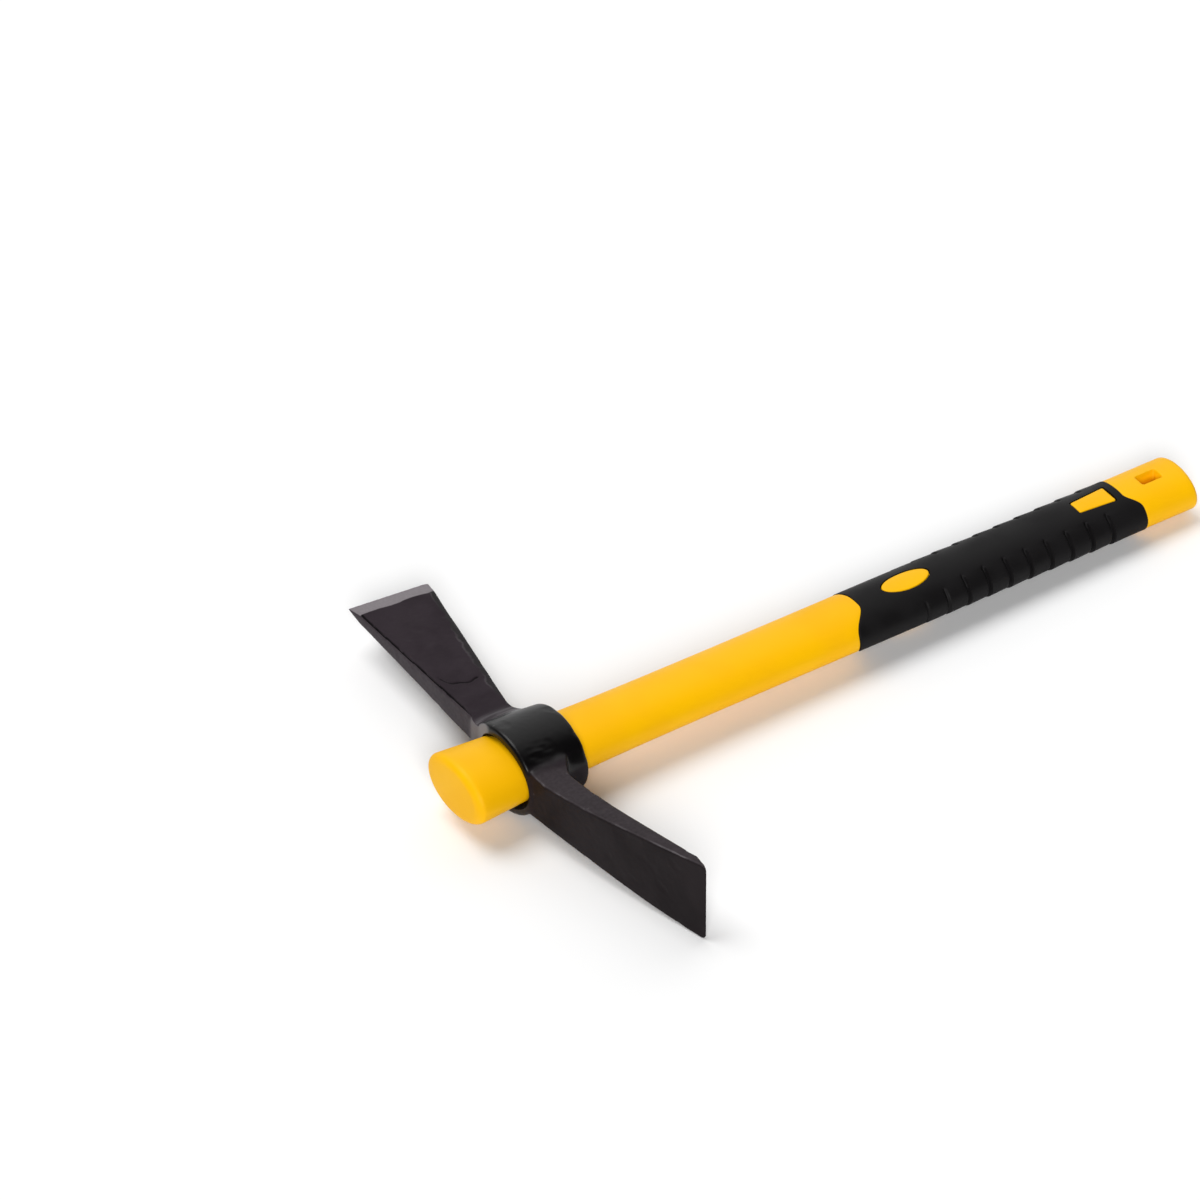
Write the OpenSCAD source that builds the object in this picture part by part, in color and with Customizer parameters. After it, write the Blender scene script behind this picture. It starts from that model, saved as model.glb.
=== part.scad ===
// Cutter mattock: a forged head with an adze and an axe, jammed on a flared overmoulded handle. Millimetres.
// Origin at the centre of the flat head end; +X runs to the butt, +Y to the axe, -Y to the adze, +Z is up.

/* [Handle] */
// Overall length of the handle
handle_len = 380; // [340:1:440]
// Width of the oval section for each millimetre of its height
oval = 1.57; // [1.45:0.01:1.65]
// Height of the section at the flared head end
head_end_h = 27.4; // [25:0.1:30]
// Height where the taper leaves the small end of the eye
neck_h = 21.6; // [21.4:0.1:23.5]
// Height of the bare handle before the grip and at the butt
tail_h = 20; // [19.6:0.1:20.4]
// Rounding of the rim of the head end
head_rim = 3.6; // [1.5:0.1:5]
// Rounding of the rim of the butt
butt_rim = 2.6; // [1:0.1:4]
// Diameter of the fibreglass rod inside
core_d = 12; // [8:0.5:13]
// Plastic over the rod at the head end
core_cover = 8; // [5:0.5:15]

/* [Eye] */
// Distance from the head end to the mouth of the eye
eye_x = 24.9; // [20:0.1:30]
// Length of the eye along the handle
eye_len = 31; // [29:0.5:36]
// Clearance all round between the taper and the eye
seat_gap = 0.1; // [0.05:0.05:0.2]
// Lead-in at the mouth of the eye, above and below the handle
eye_lead = 3; // [0.5:0.1:3.4]
// Lead-in at the mouth of the eye, toward the blades
eye_lead_side = 1.9; // [0.5:0.1:2.2]
// Wall of the collar above and below the handle
collar_top = 7.1; // [6:0.1:9]
// Wall of the collar toward the blades
collar_side = 5; // [4:0.1:7]
// Rounding of the rims of the collar
collar_round = 1.6; // [0.8:0.1:2.5]
// Length of the webs that run from the collar into the blades
blend_len = 18; // [14:0.5:22]
// Rounding of the long edges of the blades
blade_round = 1.5; // [0.6:0.1:2.2]

/* [Adze] */
// Reach of the adze edge from the handle axis
adze_reach = 122.2; // [100:0.2:150]
// Width of the cutting edge
adze_edge_w = 39.6; // [32:0.2:55]
// Width of the neck beside the collar
adze_root_w = 22; // [18:0.2:26]
// Thickness of the neck beside the collar
adze_root_t = 13.8; // [11:0.2:18]
// Thickness where the bevel begins
adze_tip_t = 4.6; // [2.4:0.1:6]
// How far the web rises above the neck, inside the collar
adze_rise = 1.3; // [0.5:0.1:3]
// How far the edge leans toward the grip
adze_lean = 19; // [5:0.5:30]
// Distance of the face from the mouth of the eye, at the neck
adze_set = 1.6; // [1:0.1:3]
// Length of the ground bevel
adze_bevel = 9; // [6:0.5:14]
// Rounding of the corners of the edge
adze_round = 3; // [1:0.1:5]

/* [Axe] */
// Reach of the axe edge from the handle axis, on its head end side
axe_reach = 128.6; // [105:0.1:155]
// Length of the cutting edge
axe_edge_w = 38.2; // [30:0.2:55]
// How far the grip end of the edge falls short of the reach
axe_skew = 4; // [0:0.1:8]
// Width of the neck beside the collar
axe_root_w = 18.6; // [14:0.2:20]
// Thickness of the neck beside the collar
axe_root_t = 13.6; // [9:0.2:16]
// Thickness where the bevel begins
axe_tip_t = 5.2; // [3:0.1:7]
// How far the head end side leans toward the grip
axe_lean = 2.6; // [0:0.1:10]
// Distance of the neck from the mouth of the eye
axe_set = 5.5; // [2:0.1:6.5]
// Distance from the handle axis where the head end side of the collar starts to slope back to the axe
slope_d = 9; // [5:0.5:12]
// Length of the ground bevel
axe_bevel = 9; // [6:0.5:14]
// Length of the fillet that runs from the collar onto the broad faces
axe_fillet = 15.2; // [12:0.1:18]

/* [Grip] */
// Length of the grip along the middle of a broad face
grip_len = 138.8; // [132:0.2:150]
// Distance from the butt to the grip, along the middle of a broad face
tail_len = 33.3; // [32:0.1:40]
// Height of the grip section
grip_h = 20.4; // [20.1:0.1:21]
// Thickness of the soft sleeve
grip_t = 2; // [1.4:0.1:2.3]
// Gap at the bond between the moulded layers
bond = 0.05; // [0.02:0.01:0.08]
// How far the front runs on toward the head, on the adze side
front_lap_adze = 8; // [0:0.5:10]
// How far the front runs on toward the head, on the axe side
front_lap_axe = 1.5; // [0:0.5:10]
// How far the rear runs on toward the butt, on the adze side
rear_lap_adze = 5.4; // [0:0.1:6]
// How far the rear runs on toward the butt, on the axe side
rear_lap_axe = 0.6; // [0:0.1:6]
// Grooves along each narrow side
groove_count = 10; // [5:1:10]
// How many grooves it takes, from the first, to come to the full depth
groove_fade = 3; // [1:1:5]
// Distance from one groove to the next
groove_pitch = 10.9; // [9:0.1:11.5]
// Distance from the front of the grip to the first groove
groove_x = 27.6; // [22:0.1:30]
// Width of a groove at the surface
groove_w = 2.6; // [1.5:0.1:3.5]
// Depth of a groove
groove_d = 0.9; // [0.4:0.1:1.2]
// Half of the angle that a groove runs round
groove_turn = 56; // [35:1:65]

/* [Windows] */
// Distance from the front of the grip to the middle of the oval window
oval_x = 26.3; // [20:0.1:30]
// Length of the oval window
oval_len = 24.8; // [16:0.2:28]
// Width of the oval window
oval_w = 12; // [8:0.2:14]
// Distance from the tapered window to the rear of the grip
panel_gap = 3.8; // [2:0.1:8]
// Length of the tapered window
panel_len = 19.2; // [12:0.2:22]
// Width of the tapered window on the head side
panel_w0 = 8.6; // [6:0.1:12]
// Width of the tapered window on the butt side
panel_w1 = 11.5; // [6:0.1:14]
// Rounding of the corners of the tapered window
panel_round = 0.8; // [0.3:0.1:2]

/* [Hanging slot] */
// Distance from the butt to the middle of the slot
slot_x = 16.6; // [13:0.1:18]
// Length of the slot
slot_len = 10.3; // [8:0.1:12]
// Width of the slot
slot_w = 6.3; // [5:0.1:8]
// Rounding of the corners of the slot
slot_round = 0.8; // [0.3:0.1:2]

/* [Hidden] */
$fn = 64;
// Larger than any section of the handle, for cutters that pass right through
through = 60;
// Trim that leaves a crisp flat face on the head end
face_trim = 0.15;
// How far blanks and cutters run on past the faces that they make
over = 1;
// Land left on the ground edges
edge_t = 0.5;
// How deep the skins of the blades start inside the collar
skin_in = 0.5;
// How far in front of the neck of the axe the slope of the collar runs out
slope_gap = 0.2;
// Share of the width of the collar from the handle axis to where the skins of the blades start
root_share = 0.28;
// How sharply the webs sweep out of the collar
swell_power = 1.5;
// How sharply the handle narrows behind the eye
shank_power = 5;
// Largest share of a blade section that one corner takes
corner_share = 0.45;
// Share of the lean of the adze that comes as a bow
adze_bow = 0.32;
// Shares of the width of the handle where the waves of the ends of the grip begin and end
front_wave = [0.1, 0.5];
rear_wave = [0.12, 0.4];
// Flat floor of a groove, as a share of its width
groove_floor = 0.3;
// How many times deeper than a groove its cutter is
groove_over = 3;
arc_steps = 8;
shank_steps = 10;
wave_steps = 24;
corner_steps = 3;
blend_steps = 5;
blade_steps = 7;
neck_x = eye_x + eye_len;
grip_x = handle_len - tail_len - grip_len;
rear_x = grip_x + grip_len;
tail_w = tail_h * oval;
collar_h = neck_h + 2 * collar_top;
collar_w = neck_h * oval + 2 * collar_side;
// Distances from the handle axis where the skin of a blade starts and where its neck is
root_d = collar_w * root_share;
neck_d = root_d + blend_len;
// Grip side of the webs, just inside the rear rim of the collar
web_x = neck_x - 2 * collar_round;
// Ends of the blanks for the sleeve and its bed
sleeve_x0 = grip_x - max(front_lap_adze, front_lap_axe) - over;
sleeve_x1 = rear_x + max(rear_lap_adze, rear_lap_axe) + over;

// Half the height of the handle, along the taper through the eye and along the shank behind it
function taper(x) = (head_end_h + (neck_h - head_end_h) * x / neck_x) / 2;
function shank(x) = (tail_h + (neck_h - tail_h) * pow(1 - (x - neck_x) / (grip_x - neck_x), shank_power)) / 2;

// Arc of a turned profile, as [radius, distance] points
function arc(r, x, radius, a0, a1) = [
    for (i = [0:arc_steps])
    let (a = a0 + (a1 - a0) * i / arc_steps)
    [r + radius * cos(a), x + radius * sin(a)]
];

// Smooth step from nought to one
function ease(t) = let (u = max(0, min(1, t))) u * u * (3 - 2 * u);

// Ends of the grip at a distance from the middle of a broad face
function wave(y, share) = ease((abs(y) / tail_w - share[0]) / (share[1] - share[0]));
function front_end(y) = grip_x - (y < 0 ? front_lap_adze : front_lap_axe) * wave(y, front_wave);
function rear_end(y) = rear_x + (y < 0 ? rear_lap_adze : rear_lap_axe) * wave(y, rear_wave);

// Turns a profile about the handle axis and widens it
module turned(profile, widen) {
    scale([1, widen, 1])
        rotate([0, 90, 0])
            rotate_extrude()
                polygon(profile);
}

// Half turn of a profile on the axe side, before it is widened
module half_turn(profile) {
    rotate([0, 90, 0])
        rotate_extrude(angle = 180)
            polygon(profile);
}

// Widens an axe side half to the oval section and adds its mirror image
module both_halves() {
    for (side = [0, 1])
        mirror([0, side, 0])
            scale([1, oval, 1])
                children();
}

// The handle before the recess for the grip
module bare_handle() {
    difference() {
        both_halves()
            half_turn(concat(
                [[0, -face_trim]],
                arc(taper(head_rim) - head_rim, head_rim - face_trim, head_rim, -90, 0),
                [
                    for (i = [0:shank_steps])
                    let (x = neck_x + (grip_x - neck_x) * i / shank_steps)
                    [shank(x), x]
                ],
                arc(tail_h / 2 - butt_rim, handle_len - butt_rim, butt_rim, 0, 90),
                [[0, handle_len]]
            ));
        translate([-through / 2, 0, 0])
            cube(through, center = true);
    }
}

// Everything between the waved ends of the grip, longer by a gap at each end
module grip_zone(gap) {
    ys = [for (i = [0:wave_steps]) (tail_w / 2 + over) * (2 * i / wave_steps - 1)];
    linear_extrude(through, center = true)
        polygon(concat(
            [for (y = ys) [front_end(y) - gap, y]],
            [for (i = [wave_steps:-1:0]) [rear_end(ys[i]) + gap, ys[i]]]
        ));
}

// Both windows of the grip, through both broad faces, smaller by a gap all round
module windows(gap) {
    half_len = oval_len / 2 - gap;
    inset = panel_round + gap;
    x1 = rear_x - panel_gap - inset;
    x0 = rear_x - panel_gap - panel_len + inset;
    translate([grip_x + oval_x, 0, 0])
        scale([1, (oval_w / 2 - gap) / half_len, 1])
            cylinder(h = through, r = half_len, center = true);
    linear_extrude(through, center = true)
        offset(r = panel_round, $fn = 24)
            polygon([
                [x0, inset - panel_w0 / 2],
                [x1, inset - panel_w1 / 2],
                [x1, panel_w1 / 2 - inset],
                [x0, panel_w0 / 2 - inset]
            ]);
}

// Bed of the soft sleeve, smaller by a gap
module sleeve_bed(gap) {
    r = grip_h / 2 - grip_t - gap;
    turned([[0, sleeve_x0], [r, sleeve_x0], [r, sleeve_x1], [0, sleeve_x1]], oval);
}

// One groove on the axe side, before it is widened: a ring set off centre, so that it runs out at both ends
module groove(x, depth) {
    r = grip_h / 2;
    floor_y = r - depth;
    centre_y = (floor_y * floor_y - r * r) / (2 * (floor_y - r * cos(groove_turn)));
    floor_r = floor_y - centre_y;
    land = groove_w * groove_floor / 2;
    rise = groove_over * depth;
    flare = land + groove_over * (groove_w / 2 - land);
    translate([x, centre_y, 0])
        turned([[floor_r, -land], [floor_r, land], [floor_r + rise, flare], [floor_r + rise, -flare]], 1);
}

// Slot with round corners through both broad faces of the butt
module hanging_slot() {
    l = slot_len - 2 * slot_round;
    w = slot_w - 2 * slot_round;
    translate([handle_len - slot_x, 0, 0]) {
        cube([slot_len, w, through], center = true);
        cube([l, slot_w, through], center = true);
        for (sx = [-1, 1], sy = [-1, 1])
            translate([sx * l / 2, sy * w / 2, 0])
                cylinder(h = through, r = slot_round, center = true);
    }
}

// The rod, or with a gap the space moulded round it
module rod(gap) {
    translate([core_cover - gap, 0, 0])
        rotate([0, 90, 0])
            cylinder(h = rear_x - core_cover + 2 * gap, d = core_d + 2 * gap);
}

// Section with round corners between two points in plan, as a ring of points
function section(p0, p1, half_z, corner) =
    let (span = norm(p1 - p0))
    let (dir = (p1 - p0) / span)
    let (mid = (p1 + p0) / 2)
    let (r = min(corner, span * corner_share, half_z * corner_share))
    [
        for (k = [0:3])
        for (i = [0:corner_steps])
        let (a = 90 * (k + i / corner_steps))
        let (sx = (k == 0 || k == 3) ? 1 : -1)
        let (sz = k < 2 ? 1 : -1)
        let (p = mid + dir * (sx * (span / 2 - r) + r * cos(a)))
        [p.x, p.y, sz * (half_z - r) + r * sin(a)]
    ];

// Skin over a list of rings
module skin(rings) {
    n = len(rings[0]);
    m = len(rings);
    polyhedron(
        points = [for (ring = rings) each ring],
        faces = concat(
            [[for (i = [0:n - 1]) i]],
            [
                for (j = [0:m - 2])
                for (i = [0:n - 1])
                let (a = j * n + i)
                let (b = j * n + (i + 1) % n)
                each [[a, a + n, b], [b, a + n, b + n]]
            ],
            [[for (i = [n - 1:-1:0]) (m - 1) * n + i]]
        )
    );
}

// Half the height of the collar at a distance from the handle axis
function collar_z(d) = collar_h / 2 * sqrt(1 - pow(2 * d / collar_w, 2));

// Swell of a blade into the collar: one where its skin starts, nought after a length
function swell(d, length) = pow(max(0, 1 - (d - root_d) / length), swell_power);

// Flat web on the head end side of the axe: nought at its neck, one from halfway in
function web(d) = max(0, min(1, 2 * (neck_d - d) / blend_len));

// Share of the way from the neck of a blade to a reach
function along(d, reach) = max(0, (d - neck_d) / (reach - neck_d));

// Distances from the handle axis where a blade has a section, closer together at the web and the edge
function stations(reach, bevel, run_in) = concat(
    [for (i = [0:blend_steps]) root_d + blend_len * i / blend_steps],
    [for (i = [1:blade_steps]) neck_d + (reach - bevel - neck_d) * i / blade_steps],
    [for (i = [run_in < bevel ? 0 : 1:blend_steps]) reach - run_in * pow(1 - i / blend_steps, 2)]
);

// Thickness of a blade: an even taper to the bevel, then the ground bevel down to the edge
function blade_t(d, reach, bevel, root_t, tip_t) =
    d < reach - bevel
    ? root_t + (tip_t - root_t) * along(d, reach - bevel)
    : edge_t + (tip_t - edge_t) * (reach - d) / bevel;

// Adze section: face toward the head end first, back toward the grip second
function adze_ring(d) =
    let (u = along(d, adze_reach))
    let (s = swell(d, blend_len))
    let (face = eye_x + adze_set + adze_lean * u * (1 - adze_bow * (1 - u)))
    let (back = face + blade_t(d, adze_reach, adze_bevel, adze_root_t, adze_tip_t))
    let (w = adze_root_w + (adze_edge_w - adze_root_w) * (u + ease(u)) / 2)
    let (e = max(0, adze_round - (adze_reach - d)))
    let (corner = adze_round - sqrt(adze_round * adze_round - e * e))
    section(
        [face + (eye_x + skin_in - face) * s, -d],
        [back + (web_x - back) * s, -d],
        w / 2 - corner + adze_rise * s,
        blade_round
    );

// Axe section: side toward the grip first, side toward the head end second
function axe_ring(d) =
    let (u = along(d, axe_reach))
    let (s = swell(d, axe_fillet))
    let (x0 = eye_x + axe_set + axe_lean * u)
    let (x1 = x0 + axe_root_w + (axe_edge_w - axe_root_w) * u)
    let (t = blade_t(d, axe_reach, axe_bevel, axe_root_t, axe_tip_t))
    section(
        [x1 + (web_x - x1) * s, d - axe_skew * u],
        [x0 + (eye_x + skin_in - x0) * web(d), d],
        t / 2 + (collar_z(root_d) - skin_in - t / 2) * s,
        blade_round
    );

// Cutter for the slope that takes the head end side of the collar back to the neck of the axe
module front_slope() {
    x0 = eye_x - over;
    x1 = eye_x + axe_set - slope_gap;
    y1 = neck_d + over;
    y0 = slope_d - over * (y1 - slope_d) / (x1 - eye_x);
    linear_extrude(through, center = true)
        polygon([[x0, y0], [x1, y1], [x0, y1]]);
}

module head() {
    front_r = taper(eye_x) + collar_top - collar_round;
    rear_r = taper(neck_x) + collar_top - collar_round;
    mouth_r = taper(eye_x) + seat_gap;
    lead_r = mouth_r + eye_lead;
    color("#332e31")
        difference() {
            union() {
                turned(concat(
                    [[0, eye_x]],
                    arc(front_r, eye_x + collar_round, collar_round, -90, 0),
                    arc(rear_r, neck_x - collar_round, collar_round, 0, 90),
                    [[0, neck_x]]
                ), collar_w / collar_h);
                skin([for (d = stations(axe_reach, axe_bevel, axe_bevel)) axe_ring(d)]);
                skin([for (d = stations(adze_reach, adze_bevel, adze_round)) adze_ring(d)]);
            }
            turned([
                [0, 0],
                [taper(0) + seat_gap, 0],
                [taper(neck_x + over) + seat_gap, neck_x + over],
                [0, neck_x + over]
            ], oval);
            front_slope();
            turned([
                [0, eye_x - over],
                [lead_r + over, eye_x - over],
                [mouth_r, eye_x + eye_lead],
                [0, eye_x + eye_lead]
            ], (mouth_r * oval + eye_lead_side) / lead_r);
        }
}

module core() {
    color("#d8cda8")
        rod(0);
}

module jacket() {
    color("#ffc314")
        difference() {
            bare_handle();
            difference() {
                grip_zone(bond);
                sleeve_bed(bond);
                windows(bond);
            }
            rod(bond);
            hanging_slot();
        }
}

module grip() {
    r = grip_h / 2;
    color("#1d1b1d")
        difference() {
            intersection() {
                both_halves()
                    difference() {
                        half_turn([[0, sleeve_x0], [r, sleeve_x0], [r, sleeve_x1], [0, sleeve_x1]]);
                        for (i = [0:groove_count - 1])
                            groove(
                                grip_x + groove_x + groove_pitch * i,
                                groove_d * min(1, (i + 1) / groove_fade)
                            );
                    }
                grip_zone(0);
            }
            sleeve_bed(0);
            windows(0);
        }
}

head();
core();
jacket();
grip();
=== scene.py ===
import math

import bpy
import numpy as np
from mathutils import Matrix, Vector, noise


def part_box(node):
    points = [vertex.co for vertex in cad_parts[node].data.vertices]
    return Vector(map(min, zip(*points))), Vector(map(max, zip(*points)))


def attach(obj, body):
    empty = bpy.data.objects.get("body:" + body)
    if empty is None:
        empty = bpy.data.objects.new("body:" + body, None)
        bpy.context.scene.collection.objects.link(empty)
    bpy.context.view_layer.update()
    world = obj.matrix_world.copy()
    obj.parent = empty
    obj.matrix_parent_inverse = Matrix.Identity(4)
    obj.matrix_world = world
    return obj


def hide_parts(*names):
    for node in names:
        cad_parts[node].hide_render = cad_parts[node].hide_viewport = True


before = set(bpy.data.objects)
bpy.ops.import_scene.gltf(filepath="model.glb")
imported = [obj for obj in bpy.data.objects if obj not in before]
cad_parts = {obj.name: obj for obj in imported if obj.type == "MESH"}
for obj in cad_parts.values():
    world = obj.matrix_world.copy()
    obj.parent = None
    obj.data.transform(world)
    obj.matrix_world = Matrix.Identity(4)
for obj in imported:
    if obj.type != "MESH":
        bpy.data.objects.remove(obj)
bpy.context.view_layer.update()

# Rod inside the handle: pultruded fibreglass, sealed in the plastic that is moulded round it. It never
# shows, and keeps its exact solid, with long glass strands in a pale resin.
MM = 0.001
MID_NOISE = (0.3, 0.7)


def node(tree, kind, inputs=None, **settings):
    """A shader node with its settings made and its inputs set or linked."""
    made = tree.nodes.new(kind)
    for name, value in settings.items():
        setattr(made, name, value)
    for name, value in (inputs or {}).items():
        if isinstance(value, bpy.types.NodeSocket):
            tree.links.new(value, made.inputs[name])
        else:
            made.inputs[name].default_value = value
    return made


def finish_of(name, fixed):
    """A new material with its surface shader, and the numbers that are the same all over it."""
    material = bpy.data.materials.new(name)
    material.use_nodes = True
    tree = material.node_tree
    surface = tree.nodes["Principled BSDF"]
    for socket, value in fixed.items():
        surface.inputs[socket].default_value = value
    return material, tree, surface


def place_in(tree):
    """The place on a piece, in metres of the shared frame."""
    return tree.nodes.new("ShaderNodeTexCoord").outputs["Object"]


def speckle(tree, place, per_metre, detail):
    """Noise of a grain size, a half on average."""
    inputs = {"Vector": place, "Scale": per_metre, "Detail": detail}
    return node(tree, "ShaderNodeTexNoise", inputs).outputs["Fac"]


def streaks(tree, place, per_metre, detail):
    """Noise that is drawn out, with a grain size of its own on each axis."""
    drawn = node(tree, "ShaderNodeMapping", {"Vector": place, "Scale": per_metre}).outputs[0]
    return speckle(tree, drawn, 1.0, detail)


def remap(tree, value, span, target=(0.0, 1.0)):
    """Runs a value smoothly from one range to another."""
    ends = ("From Min", "From Max", "To Min", "To Max")
    inputs = {"Value": value, **dict(zip(ends, (*span, *target)))}
    return node(tree, "ShaderNodeMapRange", inputs, interpolation_type="SMOOTHSTEP").outputs["Result"]


def blend_colours(tree, share, first, second):
    """Mixes two colours by a share."""
    mix = node(tree, "ShaderNodeMix", data_type="RGBA")
    tree.links.new(share, mix.inputs[0])
    for socket, colour in ((mix.inputs[6], first), (mix.inputs[7], second)):
        if isinstance(colour, bpy.types.NodeSocket):
            tree.links.new(colour, socket)
        else:
            socket.default_value = (*colour, 1)
    return mix.outputs[2]


def emboss(tree, surface, height, strength, depth):
    """Lets a height show as fine relief on a surface."""
    bump = node(tree, "ShaderNodeBump", {"Height": height, "Strength": strength, "Distance": depth * MM})
    tree.links.new(bump.outputs[0], surface.inputs["Normal"])


def dress(piece, material):
    """Gives a piece one material all over."""
    piece.data.materials.clear()
    piece.data.materials.append(material)


def strand_fibreglass():
    resin = (0.46, 0.36, 0.17)
    glass = (0.78, 0.72, 0.52)
    strand_grain = (12, 900, 900)
    roughness = (0.35, 0.6)
    material, tree, surface = finish_of("strand_fibreglass", {"IOR": 1.52})
    strands = streaks(tree, place_in(tree), strand_grain, detail=4.0)
    tree.links.new(blend_colours(tree, strands, resin, glass), surface.inputs["Base Color"])
    tree.links.new(remap(tree, strands, MID_NOISE, roughness), surface.inputs["Roughness"])
    emboss(tree, surface, strands, strength=0.3, depth=0.1)
    return material


dress(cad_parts["core"], strand_fibreglass())

# Jacket: tough yellow plastic moulded round the rod in one shot. It is the flared head end, the taper
# that the head jams on, the shank, the pads that fill the windows of the grip, and the butt with its
# hanging slot.
OVAL = 1.57
AROUND = 160
_, jacket_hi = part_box("jacket")
HANDLE_LEN = jacket_hi.x / MM
HEAD_END_H = 27.4
NECK_H = 21.6
TAIL_H = 20.0
NECK_X = 55.9
SHANK_POWER = 5
HEAD_RIM = 3.6
HEAD_DOME = 0.3
HEAD_DOME_POWER = 3
HEAD_DOME_LEAN = math.radians(5)
BUTT_RIM = 2.6
grip_lo, grip_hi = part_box("grip")
GRIP_H = (grip_hi.z - grip_lo.z) / MM
GRIP_T = 2.0
ADZE_SIDE, AXE_SIDE = -1, 1
FRONT_LAP = {ADZE_SIDE: 8.0, AXE_SIDE: 1.5}
REAR_LAP = {ADZE_SIDE: 5.4, AXE_SIDE: 0.6}
FRONT_WAVE = (0.1, 0.5)
REAR_WAVE = (0.12, 0.4)
GRIP_X = grip_lo.x / MM + FRONT_LAP[ADZE_SIDE]
REAR_X = grip_hi.x / MM - REAR_LAP[ADZE_SIDE]
BED_H = GRIP_H - 2 * GRIP_T
LIP = 0.35
LIP_STEPS = 5
SLOT_X = HANDLE_LEN - 16.6
SLOT_LEN = 10.3
SLOT_W = 6.3
SLOT_CORNER = 0.8
OVAL_PAD_X = GRIP_X + 26.3
OVAL_PAD_LEN = 24.8
OVAL_PAD_W = 12.0
TAPER_PAD_X = REAR_X - 3.8
TAPER_PAD_LEN = 19.2
TAPER_PAD_HEAD_W = 8.6
TAPER_PAD_BUTT_W = 11.5
TAPER_PAD_CORNER = 0.8
PAD_GAP = 0.55
PAD_CROWN = 0.22
PAD_RIM = 0.3
PAD_ROOT = 0.6


def ease(t):
    """Runs softly from nought to one, and stays there."""
    t = min(1.0, max(0.0, t))
    return t * t * (3 - 2 * t)


def wave(angle, lap, span):
    """How far an end of the grip runs on at an angle round the handle; nought is the axe side."""
    across = math.cos(angle) / 2
    side = AXE_SIDE if across > 0 else ADZE_SIDE
    return lap[side] * ease((abs(across) - span[0]) / (span[1] - span[0]))


def front_edge(angle):
    return GRIP_X - wave(angle, FRONT_LAP, FRONT_WAVE)


def rear_edge(angle):
    return REAR_X + wave(angle, REAR_LAP, REAR_WAVE)


def seat_h(x):
    """Height of the tapered seat that the head jams on."""
    return HEAD_END_H + (NECK_H - HEAD_END_H) * x / NECK_X


def shank_h(x):
    """Height of the bare handle behind the eye."""
    left = max(0.0, 1 - (x - NECK_X) / (GRIP_X - NECK_X))
    return TAIL_H + (NECK_H - TAIL_H) * left ** SHANK_POWER


def quarter(steps):
    """Angles over a quarter round, both ends among them."""
    return [math.radians(90 * i / steps) for i in range(steps + 1)]


def shares(steps):
    """Even shares of a stretch, its end among them."""
    return [i / steps for i in range(1, steps + 1)]


def plain(x, height):
    """Column of a shell that is the same all round the handle."""
    return lambda angle: (x, height)


def waved(edge, run, height):
    """Column of a shell that keeps a distance from a waved edge of the grip."""
    return lambda angle: (edge(angle) + run, height)


def stretch(start, end, share, height_at):
    """Column of a shell, part of the way between two places that each depend on the angle."""
    def column(angle):
        x = start(angle) + (end(angle) - start(angle)) * share
        return x, height_at(x)
    return column


def on_handle(x, height, angle):
    """Point of the oval section of a height."""
    return (x, OVAL * height / 2 * math.cos(angle), height / 2 * math.sin(angle))


def column_points(columns):
    """Points round the handle: each column gives a distance and a height for an angle."""
    angles = [2 * math.pi * j / AROUND for j in range(AROUND)]
    return [on_handle(*column(angle), angle) for column in columns for angle in angles]


def band_faces(count, n, inside_out=False):
    """Faces that join a count of rings, of n points each, one after the other."""
    faces = []
    for low in range(0, (count - 1) * n, n):
        for i in range(n):
            k = (i + 1) % n
            a, b, c, d = low + i, low + k, low + n + k, low + n + i
            faces.append((a, d, c, b) if inside_out else (a, b, c, d))
    return faces


def closed_shell(rings, inside_out=False):
    """Points and faces of a shell through rings of as many points each, with both ends shut."""
    n = len(rings[0])
    last = (len(rings) - 1) * n
    points = [point for ring in rings for point in ring]
    ends = [tuple(reversed(range(n))), tuple(range(last, last + n))]
    if inside_out:
        ends = [end[::-1] for end in ends]
    return points, ends + band_faces(len(rings), n, inside_out)


def turned_shell(columns):
    """Closed shell round the handle, with a fan of faces at either end."""
    points = column_points(columns)
    faces = band_faces(len(columns), AROUND)
    first_tip, last_tip = len(points), len(points) + 1
    last = len(points) - AROUND
    points += [(column(0.0)[0], 0.0, 0.0) for column in (columns[0], columns[-1])]
    for j in range(AROUND):
        k = (j + 1) % AROUND
        faces.append((first_tip, k, j))
        faces.append((last_tip, last + j, last + k))
    return points, faces


def smooth(mesh):
    """Shades a mesh smooth, up to the angle of a sharp edge."""
    sharp = 50
    mesh.shade_smooth()
    mesh.set_sharp_from_angle(angle=math.radians(sharp))


def new_piece(name, points, faces):
    """A mesh object from points in millimetres."""
    mesh = bpy.data.meshes.new(name)
    mesh.from_pydata((np.array(points) * MM).tolist(), [], faces)
    mesh.validate()
    smooth(mesh)
    piece = bpy.data.objects.new(name, mesh)
    bpy.context.scene.collection.objects.link(piece)
    return piece


def settle(piece):
    """Turns the modifiers of a piece into its mesh."""
    shown = piece.evaluated_get(bpy.context.evaluated_depsgraph_get())
    mesh = bpy.data.meshes.new_from_object(shown)
    piece.modifiers.clear()
    piece.data = mesh
    smooth(mesh)


def cut_out(piece, cutter):
    """Cuts one shape out of a piece for good."""
    change = piece.modifiers.new("cut", "BOOLEAN")
    change.operation = "DIFFERENCE"
    change.solver = "MANIFOLD"
    change.object = cutter
    settle(piece)
    bpy.data.objects.remove(cutter)


def prism(name, levels):
    """Closed prism through outlines of as many points each, given as (height, outline)."""
    return new_piece(name, *closed_shell([[(x, y, z) for x, y in outline] for z, outline in levels]))


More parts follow.
